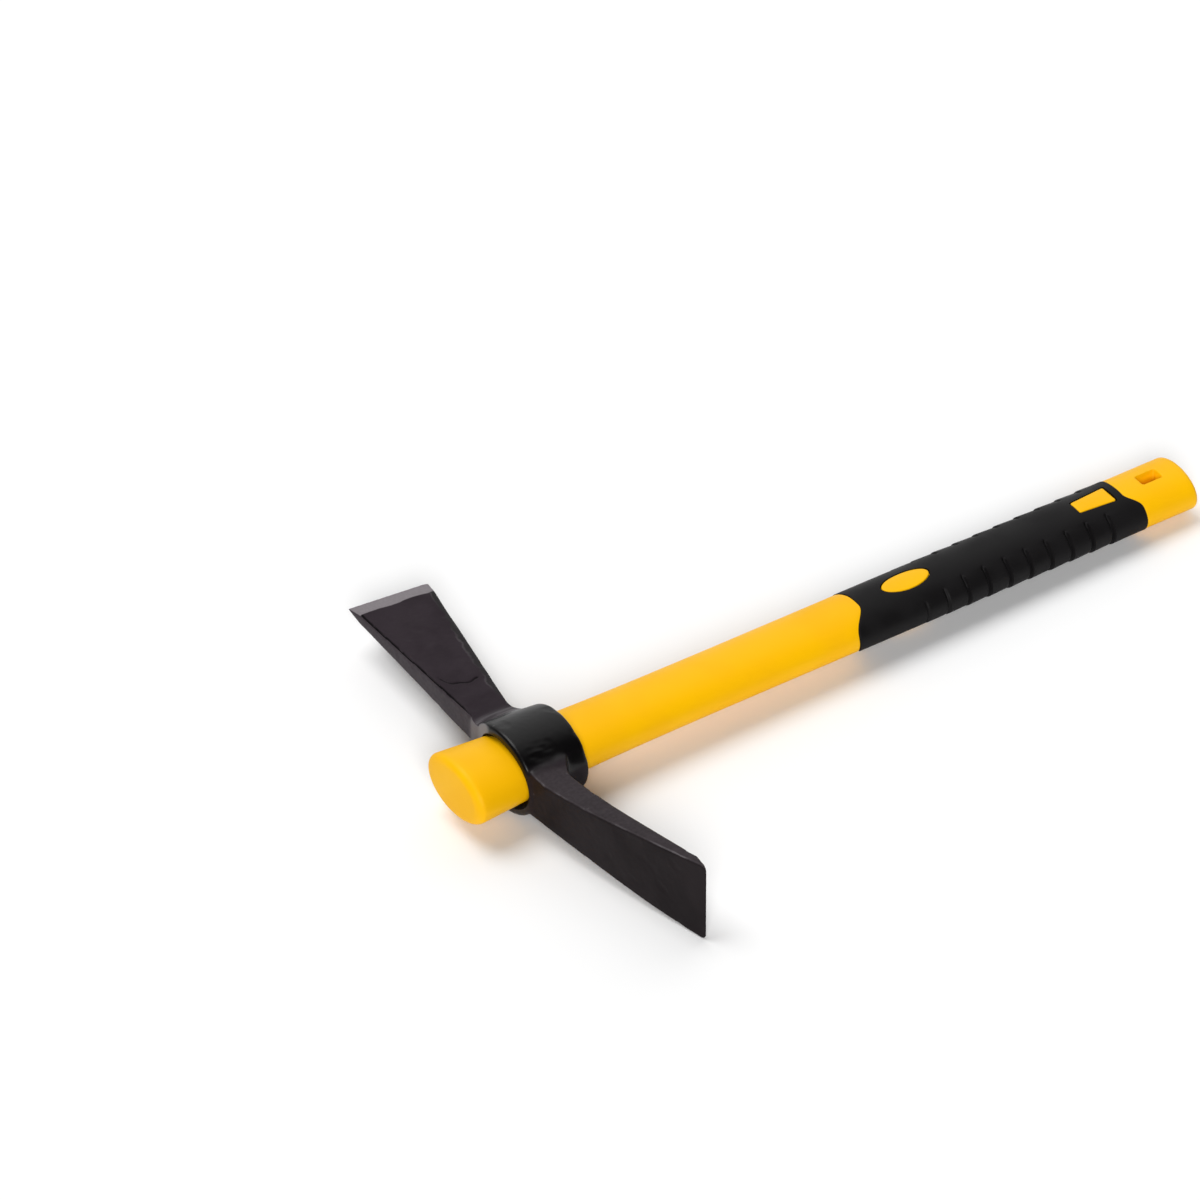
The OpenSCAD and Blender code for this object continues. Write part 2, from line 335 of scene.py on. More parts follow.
def round_corners(corners, radius, steps=5):
    """Outline with round corners, through corners that go round against the clock."""
    outline = []
    for i, corner in enumerate(corners):
        here = Vector(corner)
        before = (Vector(corners[i - 1]) - here).normalized()
        after = (Vector(corners[(i + 1) % len(corners)]) - here).normalized()
        half = before.angle(after) / 2
        centre = here + (before + after).normalized() * (radius / math.sin(half))
        start = here + before * (radius / math.tan(half)) - centre
        turn = math.pi - 2 * half
        for k in range(steps + 1):
            a = turn * k / steps
            swung = Vector((start.x * math.cos(a) - start.y * math.sin(a),
                            start.x * math.sin(a) + start.y * math.cos(a)))
            outline.append(tuple(centre + swung))
    return outline


def slot_outline(grow):
    """Outline of the hanging slot, larger all round by a margin."""
    x, y = SLOT_LEN / 2 + grow, SLOT_W / 2 + grow
    corners = [(SLOT_X - x, -y), (SLOT_X + x, -y), (SLOT_X + x, y), (SLOT_X - x, y)]
    return round_corners(corners, SLOT_CORNER + grow)


def slot_cutter():
    """What the slot takes off, with a soft flare at either mouth."""
    mouth_d, lip_d, lip_grow = 0.55, 0.5, 0.45
    over_z, over_grow = 13, 2.6
    edge = TAIL_H / 2 - mouth_d
    mouth = [(edge, 0), (edge + lip_d, lip_grow), (over_z, over_grow)]
    levels = [(-z, grow) for z, grow in reversed(mouth)] + mouth
    return prism("slot_cutter", [(z, slot_outline(grow)) for z, grow in levels])


def head_end_columns():
    """The slightly domed head end, its rim and the tapered seat of the head."""
    dome_shares = (0.25, 0.5, 0.7, 0.85, 0.95)
    rim_steps, seat_steps = 10, 16
    rim_x = HEAD_DOME + HEAD_RIM * math.cos(HEAD_DOME_LEAN)
    face_h = seat_h(rim_x) - 2 * HEAD_RIM * (1 - math.sin(HEAD_DOME_LEAN))
    columns = [plain(HEAD_DOME * s ** HEAD_DOME_POWER, face_h * s) for s in dome_shares]
    for share in [0.0, *shares(rim_steps)]:
        t = HEAD_DOME_LEAN + (math.pi / 2 - HEAD_DOME_LEAN) * share
        height = seat_h(rim_x) - 2 * HEAD_RIM * (1 - math.sin(t))
        columns.append(plain(rim_x - HEAD_RIM * math.cos(t), height))
    for share in shares(seat_steps):
        x = rim_x + (NECK_X - rim_x) * share
        columns.append(plain(x, seat_h(x)))
    return columns


def shank_columns():
    """The bare shank, from the seat of the head to the lip before the grip."""
    steps, crowding = 48, 1.4
    columns = []
    for share in shares(steps):
        columns.append(stretch(lambda a: NECK_X, lambda a: front_edge(a) - LIP, share ** crowding, shank_h))
    for t in quarter(LIP_STEPS)[1:]:
        columns.append(waved(front_edge, -LIP * (1 - math.sin(t)), TAIL_H - 2 * LIP * (1 - math.cos(t))))
    return columns


def butt_columns():
    """The butt, from the lip behind the grip to the flat end."""
    steps, rim_steps = 12, 10
    end_shares = (0.75, 0.5, 0.25)
    flat_x, flat_h = HANDLE_LEN - BUTT_RIM, TAIL_H - 2 * BUTT_RIM
    columns = []
    for t in reversed(quarter(LIP_STEPS)):
        columns.append(waved(rear_edge, LIP * (1 - math.sin(t)), TAIL_H - 2 * LIP * (1 - math.cos(t))))
    for share in shares(steps):
        columns.append(stretch(lambda a: rear_edge(a) + LIP, lambda a: flat_x, share, lambda x: TAIL_H))
    for t in quarter(rim_steps)[1:]:
        columns.append(plain(flat_x + BUTT_RIM * math.sin(t), flat_h + 2 * BUTT_RIM * math.cos(t)))
    for share in end_shares:
        columns.append(plain(HANDLE_LEN, flat_h * share))
    return columns


def mould_jacket():
    """The whole jacket but its pads, with a bed that the grip lies in."""
    bed = [waved(front_edge, 0.0, BED_H), waved(rear_edge, 0.0, BED_H)]
    columns = head_end_columns() + shank_columns() + bed + butt_columns()
    shell = new_piece("jacket_shell", *turned_shell(columns))
    cut_out(shell, slot_cutter())
    return shell


def window_outlines(gap):
    """Outlines of the oval window and of the tapered one, smaller all round by a gap."""
    oval_steps = 72
    turns = [2 * math.pi * i / oval_steps for i in range(oval_steps)]
    half_len, half_w = OVAL_PAD_LEN / 2 - gap, OVAL_PAD_W / 2 - gap
    oval = [(OVAL_PAD_X + half_len * math.cos(t), half_w * math.sin(t)) for t in turns]
    head_x, head_y = TAPER_PAD_X - TAPER_PAD_LEN + gap, TAPER_PAD_HEAD_W / 2 - gap
    butt_x, butt_y = TAPER_PAD_X - gap, TAPER_PAD_BUTT_W / 2 - gap
    corners = [(head_x, -head_y), (butt_x, -butt_y), (butt_x, butt_y), (head_x, head_y)]
    return oval, round_corners(corners, TAPER_PAD_CORNER)


def pad_shell(outline, side):
    """One pad on a broad face: a closed button that follows the oval of the handle, with a soft rim."""
    crown = [(0.02, 0), (0.3, 0), (0.6, 0), (0.85, 0), (0.95, 0.02), (0.985, 0.09)]
    rings = [*crown, (1.0, PAD_RIM), (1.0, GRIP_T + PAD_ROOT)]
    centre = np.mean(outline, axis=0)
    points = []
    for share, drop in rings:
        for corner in outline:
            x, y = centre + (np.array(corner) - centre) * share
            surface = TAIL_H / 2 * math.sqrt(1 - (2 * y / (OVAL * TAIL_H)) ** 2)
            points.append((x, y, side * (surface + PAD_CROWN * (1 - share ** 4 / 2) - drop)))
    n = len(outline)
    last = (len(rings) - 1) * n
    faces = band_faces(len(rings), n, inside_out=True)
    faces += [tuple(range(n)), tuple(reversed(range(last, last + n)))]
    return points, faces if side > 0 else [face[::-1] for face in faces]


def join_onto(piece, others):
    """Puts the meshes of other objects into one piece."""
    with bpy.context.temp_override(active_object=piece, selected_editable_objects=[piece, *others]):
        bpy.ops.object.join()


jacket = mould_jacket()
jacket.name = "yellow_jacket"
pads = []
for outline in window_outlines(PAD_GAP):
    pads += [new_piece("pad", *pad_shell(outline, side)) for side in (1, -1)]
join_onto(jacket, pads)


def effect(name, inputs, outputs):
    """An empty group of shader nodes with named numbers in and out."""
    group = bpy.data.node_groups.new(name, "ShaderNodeTree")
    for label, default in inputs.items():
        socket = group.interface.new_socket(label, in_out="INPUT", socket_type="NodeSocketFloat")
        socket.default_value = default
    for label in outputs:
        group.interface.new_socket(label, in_out="OUTPUT", socket_type="NodeSocketFloat")
    return group, group.nodes.new("NodeGroupInput").outputs, group.nodes.new("NodeGroupOutput").inputs


def calc(tree, operation, *values):
    """One sum on numbers and sockets."""
    return node(tree, "ShaderNodeMath", dict(enumerate(values)), operation=operation).outputs[0]


def mould_grain():
    """Fine grain that a spark-eroded mould leaves, with broad soft unevenness below it."""
    fine_share = 0.25
    inputs = {"Grain per metre": 1500, "Sink per metre": 40}
    group, given, put = effect("mould grain", inputs, ("Height", "Tone"))
    place = place_in(group)
    fine = speckle(group, place, given["Grain per metre"], detail=3.0)
    broad = speckle(group, place, given["Sink per metre"], detail=2.0)
    group.links.new(calc(group, "MULTIPLY_ADD", fine, fine_share, broad), put["Height"])
    group.links.new(broad, put["Tone"])
    return group


def rubbed_edges():
    """Mask of the outer edges that hands and boxes rub, broken up by patches."""
    patchy = {"From Min": 0.35, "From Max": 0.65}
    inputs = {"Softest": 0.51, "Sharpest": 0.56, "Patch per metre": 220}
    group, given, put = effect("rubbed edges", inputs, ("Mask",))
    shape = group.nodes.new("ShaderNodeNewGeometry").outputs["Pointiness"]
    outer = {"From Min": given["Softest"], "From Max": given["Sharpest"]}
    patch = speckle(group, place_in(group), given["Patch per metre"], detail=4.0)
    edge = node(group, "ShaderNodeMapRange", {"Value": shape, **outer}).outputs[0]
    broken = node(group, "ShaderNodeMapRange", {"Value": patch, **patchy}).outputs[0]
    group.links.new(calc(group, "MULTIPLY", edge, broken), put["Mask"])
    return group


grain_effect = mould_grain()
edge_effect = rubbed_edges()
GRAIN_SPAN = (0.4, 0.9)


def yellow_plastic():
    body = (0.97, 0.51, 0.0)
    deep = (0.95, 0.485, 0.0)
    rubbed = (1.0, 0.57, 0.02)
    rub_share = 0.35
    roughness = (0.42, 0.54)
    material, tree, surface = finish_of("yellow_plastic", {"IOR": 1.5, "Specular IOR Level": 0.13})
    coarse = {"Grain per metre": 1700, "Sink per metre": 45}
    grain = node(tree, "ShaderNodeGroup", coarse, node_tree=grain_effect).outputs
    handled = {"Sharpest": 0.6, "Patch per metre": 300}
    edges = node(tree, "ShaderNodeGroup", handled, node_tree=edge_effect).outputs["Mask"]
    colour = blend_colours(tree, remap(tree, grain["Tone"], MID_NOISE), body, deep)
    colour = blend_colours(tree, calc(tree, "MULTIPLY", edges, rub_share), colour, rubbed)
    tree.links.new(colour, surface.inputs["Base Color"])
    tree.links.new(remap(tree, grain["Height"], GRAIN_SPAN, roughness), surface.inputs["Roughness"])
    emboss(tree, surface, grain["Height"], strength=0.05, depth=0.3)
    return material


dress(jacket, yellow_plastic())
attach(jacket, "root")
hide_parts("jacket")

# Grip: soft black rubber moulded over the jacket. It has two windows on each broad face, and its narrow
# sides are pillows parted by notches, so that fingers bed in.
GRIP_GAP = 0.05
NOTCHES = 10
NOTCH_GROW = 3
NOTCH_FIRST = 0.6
NOTCH_PITCH = 10.9
NOTCH_X = GRIP_X + 27.6
NOTCH_D = 1.2
NOTCH_HEAD_W = 0.8
NOTCH_BUTT_W = 1.15
NOTCH_WALL = 1.45
NOTCH_TURN = math.radians(57)
NOTCH_START = 0.7
NOTCH_FADE = math.radians(10)
PILLOW = 0.36


def notch_depth(x, angle):
    """How far the sleeve is drawn in at a place: notches, and pillows that fall away toward the butt."""
    step = (x - NOTCH_X) / NOTCH_PITCH
    pillow = math.floor(step)
    nearest = min(NOTCHES - 1, max(0, round(step)))
    off_side = math.acos(min(1.0, abs(math.cos(angle))))
    turn = NOTCH_TURN * (NOTCH_START + (1 - NOTCH_START) * min(1.0, nearest / (NOTCH_GROW - 1)))
    side = ease((turn - off_side) / NOTCH_FADE)
    if side == 0 or pillow < -1 or pillow >= NOTCHES:
        return 0.0
    off = (step - nearest) * NOTCH_PITCH
    half_w = NOTCH_HEAD_W if off < 0 else NOTCH_BUTT_W
    notch = min(1.0, NOTCH_WALL * max(0.0, 1 - abs(off) / half_w))
    starts = 0.0 if pillow < 0 else -0.5
    ends = 0.0 if pillow == NOTCHES - 1 else 0.5
    fall = (starts + (ends - starts) * (step - pillow)) * min(1.0, (max(0, pillow) + 1) / NOTCH_GROW)
    grown = min(1.0, (nearest + NOTCH_FIRST) / NOTCH_GROW)
    return side * (NOTCH_D * grown * notch + PILLOW * fall)


def notched(x):
    """Column of the sleeve that its notches and pillows draw in."""
    return lambda angle: (x, GRIP_H - 2 * notch_depth(x, angle))


def notch_steps(start):
    """Distances of the columns from a start to the last notch, crowded at the notches."""
    steps, crowding = 10, 2.2
    half = NOTCH_PITCH / 2
    before = [start + i for i in range(int(NOTCH_X - half - start))]
    near = [sign * half * share ** crowding for sign in (-1, 1) for share in shares(steps)]
    return before + sorted(NOTCH_X + NOTCH_PITCH * n + off for n in range(NOTCHES) for off in [0, *near])


def mould_grip():
    """The sleeve with its two lips, open at both ends, and its windows cut through both broad faces."""
    end_len, end_steps, through = 6, 10, 14
    straight_from, straight_to = GRIP_X + end_len, REAR_X - end_len
    lips = [(GRIP_GAP, BED_H + 2 * GRIP_GAP)]
    for t in quarter(LIP_STEPS):
        lips.append((GRIP_GAP + LIP * (1 - math.cos(t)), GRIP_H - 2 * LIP * (1 - math.sin(t))))
    columns = [waved(front_edge, run, height) for run, height in lips]
    for share in shares(end_steps)[:-1]:
        columns.append(stretch(lambda a: front_edge(a) + LIP, lambda a: straight_from, share,
                               lambda x: GRIP_H))
    columns += [notched(x) for x in notch_steps(straight_from)]
    for share in shares(end_steps)[:-1]:
        columns.append(stretch(lambda a: straight_to, lambda a: rear_edge(a) - LIP, share,
                               lambda x: GRIP_H))
    columns += [waved(rear_edge, -run, height) for run, height in reversed(lips)]
    points = column_points(columns)
    faces = band_faces(len(columns), AROUND)
    last = len(points) - AROUND
    for j in range(AROUND):
        k = (j + 1) % AROUND
        faces.append((last + j, last + k, k, j))
    sleeve = new_piece("black_grip", points, faces)
    for outline in window_outlines(0.0):
        cut_out(sleeve, prism("window_cutter", [(-through, outline), (through, outline)]))
    return sleeve


def either(tree, first, *others):
    """Mask of what any of several masks covers."""
    for other in others:
        first = calc(tree, "MAXIMUM", first, other)
    return first


def black_rubber():
    body = (0.0048, 0.0043, 0.0046)
    dusty = (0.0078, 0.0071, 0.0077)
    dust = (0.0, 0.6)
    roughness = (0.48, 0.66)
    material, tree, surface = finish_of("black_rubber", {"IOR": 1.5, "Specular IOR Level": 0.13})
    fine = {"Grain per metre": 2600, "Sink per metre": 60}
    grain = node(tree, "ShaderNodeGroup", fine, node_tree=grain_effect).outputs
    held = {"Sharpest": 0.58, "Patch per metre": 400}
    edges = node(tree, "ShaderNodeGroup", held, node_tree=edge_effect).outputs["Mask"]
    worn = either(tree, remap(tree, grain["Tone"], MID_NOISE, dust), edges)
    tree.links.new(blend_colours(tree, worn, body, dusty), surface.inputs["Base Color"])
    tree.links.new(remap(tree, grain["Height"], GRAIN_SPAN, roughness), surface.inputs["Roughness"])
    emboss(tree, surface, grain["Height"], strength=0.25, depth=0.3)
    return material


grip = mould_grip()
dress(grip, black_rubber())
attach(grip, "root")
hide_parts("grip")

# Head: one steel forging with an adze, an oval eye and an axe blade, ground at both edges and dipped in
# black lacquer. It slides up the handle from the butt and jams on the flare.
head_lo, head_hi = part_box("head")
EYE_X = head_lo.x / MM
EYE_GAP = 0.1
COLLAR_TOP = 7.1
COLLAR_SIDE = 5.0
COLLAR_H = NECK_H + 2 * COLLAR_TOP
COLLAR_W = NECK_H * OVAL + 2 * COLLAR_SIDE
COLLAR_ROUND = 2.0
ROOT_SHARE = 0.28
ROOT_D = COLLAR_W * ROOT_SHARE
ROOT_IN = 0.5
WEB_LEN = 18.0
WEB_X = NECK_X - 2 * COLLAR_ROUND
NECK_D = ROOT_D + WEB_LEN
SWELL_POWER = 1.5
SLOPE_D = 9.0
BEVEL = 9.0
EDGE_T = 0.6
BLADE_ROUND = 1.2
ADZE_REACH = -head_lo.y / MM
ADZE_SET = 1.6
ADZE_SWING = 19.0
ADZE_BOW = 0.32
ADZE_ROOT_T = 13.8
ADZE_TIP_T = 4.6
ADZE_ROOT_W = 22.0
ADZE_EDGE_W = 39.6
ADZE_CORNER = 3.0
ADZE_RISE = 1.3
AXE_REACH = head_hi.y / MM
AXE_FRONT_X = EYE_X + 5.5
AXE_LEAN = 2.6
AXE_SKEW = 4.0
AXE_FILLET_D = ROOT_D + 15.2
AXE_ROOT_T = 13.6
AXE_TIP_T = 5.2
AXE_ROOT_W = 18.6
AXE_EDGE_W = 38.2
AXE_CORNER = 2.0
LAP_X = 45.3
LAP_Y = 62.2
LAP_R = 10.6
LAP_END = 4.0
LAP_WAVE = 0.4
LAP_WAVE_LEN = 7.0


def blade_ring(start, end, half_z, corner_steps=5, flat_steps=9):
    """Ring of points of a blade between two places in plan, with round corners and dense flats."""
    most_round = 0.45
    start, end = np.array(start), np.array(end)
    span = np.linalg.norm(end - start)
    run = (end - start) / span
    middle = (start + end) / 2
    r = min(BLADE_ROUND, span * most_round, half_z * most_round)
    section = []
    for sx, sz, first in ((1, 1, 0), (-1, 1, 90), (-1, -1, 180), (1, -1, 270)):
        for i in range(corner_steps + 1):
            a = math.radians(first + 90 * i / corner_steps)
            section.append((sx * (span / 2 - r) + r * math.cos(a), sz * (half_z - r) + r * math.sin(a)))
    dense = []
    for i, (u0, z0) in enumerate(section):
        u1, z1 = section[(i + 1) % len(section)]
        cuts = flat_steps if (i + 1) % (corner_steps + 1) == 0 else 1
        dense += [(u0 + (u1 - u0) * k / cuts, z0 + (z1 - z0) * k / cuts) for k in range(cuts)]
    return [(*(middle + run * u), z) for u, z in dense]


def blade_t(d, reach, root_t, tip_t):
    """Thickness of a blade at a distance from the handle axis, with its ground bevel."""
    if d > reach - BEVEL:
        return EDGE_T + (tip_t - EDGE_T) * (reach - d) / BEVEL
    return root_t + (tip_t - root_t) * max(0.0, (d - NECK_D) / (reach - BEVEL - NECK_D))


def swell(d, neck_d):
    """One where the skin of a blade starts inside the collar, nought where its neck begins."""
    return max(0.0, (neck_d - d) / (neck_d - ROOT_D)) ** SWELL_POWER


def corner_in(d, reach, corner):
    """How far a rounded corner of an edge draws a blade in at a distance from the handle axis."""
    near = max(0.0, corner - (reach - d))
    return corner - math.sqrt(corner ** 2 - near ** 2)


def adze_ring(d):
    """Section of the adze, whose broad side swings back to the butt."""
    u = max(0.0, (d - NECK_D) / (ADZE_REACH - NECK_D))
    s = swell(d, NECK_D)
    face = EYE_X + ADZE_SET + ADZE_SWING * u * (1 - ADZE_BOW * (1 - u))
    back = face + blade_t(d, ADZE_REACH, ADZE_ROOT_T, ADZE_TIP_T)
    width = ADZE_ROOT_W + (ADZE_EDGE_W - ADZE_ROOT_W) * (u + ease(u)) / 2
    half = width / 2 - corner_in(d, ADZE_REACH, ADZE_CORNER)
    face += (EYE_X + ROOT_IN - face) * s
    back += (WEB_X - back) * s
    return blade_ring((face, -d), (back, -d), half + ADZE_RISE * s)


def axe_ring(d):
    """Section of the axe, which stands in line with the handle and widens to its edge."""
    u = max(0.0, (d - NECK_D) / (AXE_REACH - NECK_D))
    s = swell(d, AXE_FILLET_D)
    web = min(1.0, 2 * max(0.0, (NECK_D - d) / WEB_LEN))
    front = AXE_FRONT_X + AXE_LEAN * u
    back = front + AXE_ROOT_W + (AXE_EDGE_W - AXE_ROOT_W) * u - corner_in(d, AXE_REACH, AXE_CORNER)
    half = blade_t(d, AXE_REACH, AXE_ROOT_T, AXE_TIP_T) / 2
    root_half = COLLAR_H / 2 * math.sqrt(1 - (2 * ROOT_D / COLLAR_W) ** 2) - ROOT_IN
    front += (EYE_X + ROOT_IN - front) * web
    back += (WEB_X - back) * s
    return blade_ring((back, d - AXE_SKEW * u), (front, d), half + (root_half - half) * s)


def oval_rings(profile, widen, around):
    """Oval rings through a profile of distances and half heights."""
    turns = [2 * math.pi * j / around for j in range(around)]
    return [[(x, widen * r * math.cos(a), r * math.sin(a)) for a in turns] for x, r in profile]


def collar_shell():
    """The oval collar, which follows the taper of the handle, with round rims."""
    rim_steps, around = 6, 120
    rim = [(COLLAR_ROUND * (1 - math.sin(t)), COLLAR_ROUND * math.cos(t)) for t in quarter(rim_steps)]
    front, rear = (seat_h(x) / 2 + COLLAR_TOP - COLLAR_ROUND for x in (EYE_X, NECK_X))
    profile = [(EYE_X + run, front + rise) for run, rise in reversed(rim)]
    profile += [(NECK_X - run, rear + rise) for run, rise in rim]
    return closed_shell(oval_rings(profile, COLLAR_W / COLLAR_H, around))


def bore_r(x):
    """Half height of the tapered eye."""
    return seat_h(x) / 2 + EYE_GAP


def pierce_eye(head):
    """The tapered eye and the lead-in round its mouth, deeper above and below than toward the blades."""
    lead, lead_side = 3.0, 1.9
    rear_break, over = 1.1, 2.0
    mouth = bore_r(EYE_X)
    eye = [(x, bore_r(x)) for x in (EYE_X - over, NECK_X - rear_break)]
    eye.append((NECK_X + over, bore_r(NECK_X) + over))
    cone = [(EYE_X - over, mouth + lead + over), (EYE_X + lead, mouth)]
    cone_oval = (mouth * OVAL + lead_side) / (mouth + lead)
    for profile, widen in ((eye, OVAL), (cone, cone_oval)):
        cut_out(head, new_piece("eye_cutter", *closed_shell(oval_rings(profile, widen, AROUND))))


def slope_cutter():
    """What the slope takes off, where the collar runs back to the neck of the axe."""
    over, gap, over_z = 1.0, 0.2, 30
    x0, x1 = EYE_X - over, AXE_FRONT_X - gap
    y1 = NECK_D + over
    y0 = SLOPE_D - over * (y1 - SLOPE_D) / (x1 - EYE_X)
    outline = [(x0, y0), (x1, y1), (x0, y1)]
    return prism("slope_cutter", [(-over_z, outline), (over_z, outline)])


def blade_steps(reach, bevel_shares):
    """Distances of the sections of a blade: its root in the collar, its length and its ground bevel."""
    web_steps, length_steps = 24, 40
    length = reach - BEVEL - NECK_D
    steps = [ROOT_D + WEB_LEN * share for share in [0.0, *shares(web_steps)]]
    steps += [NECK_D + length * share for share in shares(length_steps)]
    return steps + [reach - BEVEL * left for left in bevel_shares]


def vertex_rows(mesh, field):
    """One vector for each vertex of a mesh."""
    values = np.empty(len(mesh.vertices) * 3)
    mesh.vertices.foreach_get(field, values)
    return values.reshape(-1, 3)


def fill_corners(mesh, rounds):
    """Rounds the inner corners where the blades leave the collar, and leaves the outer edges as they are."""
    places, normals = vertex_rows(mesh, "co"), vertex_rows(mesh, "normal")
    count = len(places)
    ends = np.empty(len(mesh.edges) * 2, dtype=int)
    mesh.edges.foreach_get("vertices", ends)
    first, second = ends[::2], ends[1::2]
    neighbours = np.bincount(ends, minlength=count)[:, None]
    for _ in range(rounds):
        total = [np.bincount(first, places[second, k], count) + np.bincount(second, places[first, k], count)
                 for k in range(3)]
        pull = np.stack(total, axis=1) / neighbours - places
        lift = np.maximum(0.0, (pull * normals).sum(axis=1))
        places += normals * lift[:, None]
    mesh.vertices.foreach_set("co", places.ravel())
    mesh.update()


def lap_mark(x, y):
    """Depth of the curved lap that the dies left on top of the axe, and of the low ground round it."""
    line_w, line_d = 0.8, 0.45
    low_d, low_start, low_reach, low_fade = 0.12, 2, 12, 6
    if y > LAP_Y:
        return 0.0
    wander = LAP_WAVE * math.sin(2 * math.pi * x / LAP_WAVE_LEN)
    off = math.hypot(x - LAP_X, y - LAP_Y) - LAP_R - wander
    line = line_d * max(0.0, 1 - abs(off) / line_w)
    low = low_d * ease(off / low_start) * ease((low_reach - off) / low_fade)
    return (line + low) * ease(LAP_X + LAP_END - x)


def edge_line(x, y):
    """Depth of the thin furrow beside the head end edge of the axe."""
    furrow_in, furrow_w, furrow_d = 1.0, 0.8, 0.6
    inside = x - AXE_FRONT_X - AXE_LEAN * (y - NECK_D) / (AXE_REACH - NECK_D)
    return furrow_d * max(0.0, 1 - abs(inside - furrow_in) / furrow_w)


def scale_h(spot):
    """Height of the ragged scale on the collar, above the root of the adze."""
    middle, reach, fade, height = Vector((36, -16, 12)), 10, 6, 0.32
    grain_x, grain_yz = 190, 420
    off = (spot / MM - middle).length
    ragged = noise.noise(Vector((spot.x * grain_x, spot.y * grain_yz, spot.z * grain_yz)))
    return height * ragged * ease((reach - off) / fade)


def uneven_h(spot):
    """Height of the waves, dents and grain that the dies and the scale leave all over."""
    wave_grain, wave_h = 45, 0.2
    dent_grain, dent_shift, dent_from, dent_h = 130, Vector((7, 3, 1)), 0.3, 0.6
    rough_grain, rough_h = 420, 0.03
    waves = noise.noise(spot * wave_grain) * wave_h
    dents = min(0.0, noise.noise(spot * dent_grain + dent_shift) + dent_from) * dent_h
    return waves + dents + noise.noise(spot * rough_grain) * rough_h


def hammer(head):
    """Slight waves, laps and dents of the forging, none of them on the ground edges."""
    facing_up, ground_fade = 0.8, 6
    mesh = head.data
    places, normals = vertex_rows(mesh, "co"), vertex_rows(mesh, "normal")
    move = np.empty(len(places))
    for i, place in enumerate(places):
        spot = Vector(place)
        x, y = spot.x / MM, spot.y / MM
        marks = 0.0
        if y > NECK_D and normals[i][2] > facing_up:
            marks = lap_mark(x, y) + edge_line(x, y)
        to_edge = min(AXE_REACH - y, ADZE_REACH + y)
        move[i] = (uneven_h(spot) + scale_h(spot) - marks) * ease((to_edge - BEVEL) / ground_fade)
    mesh.vertices.foreach_set("co", (places + normals * move[:, None] * MM).ravel())
    mesh.update()


def forge_head():
    """The collar and both blades fused into one skin, rounded, hammered and pierced."""
    axe_bevel_steps, adze_bevel_steps = 10, 14
    voxel, ease_factor, ease_rounds, fillet_rounds = 0.5, 0.5, 6, 260
    axe_steps = blade_steps(AXE_REACH, [1 - share for share in shares(axe_bevel_steps)])
    adze_steps = blade_steps(ADZE_REACH, [(1 - share) ** 2 for share in shares(adze_bevel_steps)])
    head = new_piece("forged_head", *collar_shell())
    axe = new_piece("axe", *closed_shell([axe_ring(d) for d in axe_steps], inside_out=True))
    for piece in (head, axe):
        cut_out(piece, slope_cutter())
    adze = new_piece("adze", *closed_shell([adze_ring(d) for d in adze_steps], inside_out=True))
    join_onto(head, [axe, adze])
    fuse = head.modifiers.new("fuse", "REMESH")
    fuse.mode = "VOXEL"
    fuse.voxel_size = voxel * MM
    ease_off = head.modifiers.new("ease", "SMOOTH")
    ease_off.factor = ease_factor
    ease_off.iterations = ease_rounds
    settle(head)
    fill_corners(head.data, fillet_rounds)
    hammer(head)
    pierce_eye(head)
    return head


# Black of the lacquer that ran together round the eye, also used as painted shade on the collar, in creases
# and in the eye.
LACQUER_POOLED_AND_SHADE = (0.0014, 0.001, 0.0012)
LACQUER_THIN = (0.0178, 0.0112, 0.0158)
LACQUER_DRY = (0.0255, 0.0178, 0.0232)
LACQUER_ADZE_PAINTED_SHADE = (0.0092, 0.0062, 0.0072)
LACQUER_ADZE_PAINTED_SHADE_CLOUDED = (0.0136, 0.0096, 0.011)
LACQUER_GREYED = (0.019, 0.0168, 0.0178)
LACQUER_AXE_FRONT_PAINTED_LIGHT = (0.05, 0.041, 0.047)
LACQUER_ADZE_FLATS_PAINTED_LIGHT = (0.04, 0.032, 0.036)
LACQUER_WORN_AND_PAINTED_LIGHT = (0.15, 0.138, 0.146)
STEEL_DARK = (0.17, 0.152, 0.162)
STEEL_LIGHT = (0.25, 0.226, 0.239)
FALL = (1.0, 0.0)
PATCHY = (0.35, 0.65)
SQUARE_ON = (0.6, 0.8)
BEYOND_NECK = (32, 42)


def overlap(tree, first, *others):
    """Mask of what several masks have in common."""
    for other in others:
        first = calc(tree, "MULTIPLY", first, other)
    return first


def beyond(tree, value, rise):
    """Mask that rises over a range in millimetres."""
    return remap(tree, value, (rise[0] * MM, rise[1] * MM))


def short_of(tree, value, fall):
    """Mask that falls over a range in millimetres."""
    return remap(tree, value, (fall[0] * MM, fall[1] * MM), FALL)


def within(tree, value, rise, fall):
    """Mask that rises over one range and falls over another, both in millimetres."""
    return overlap(tree, beyond(tree, value, rise), short_of(tree, value, fall))


def reach_along(tree, place, direction):
    """How far one vector reaches along another."""
    both = {0: place, 1: direction}
    return node(tree, "ShaderNodeVectorMath", both, operation="DOT_PRODUCT").outputs["Value"]


def past_line(tree, place, direction, start):
    """How far a place lies beyond a straight line in plan, which starts so many millimetres along."""
    return calc(tree, "SUBTRACT", reach_along(tree, place, direction), start * MM)


def in_plane(tree, place, axes):
    """A place with only some of its axes."""
    return node(tree, "ShaderNodeVectorMath", {0: place, 1: axes}, operation="MULTIPLY").outputs[0]


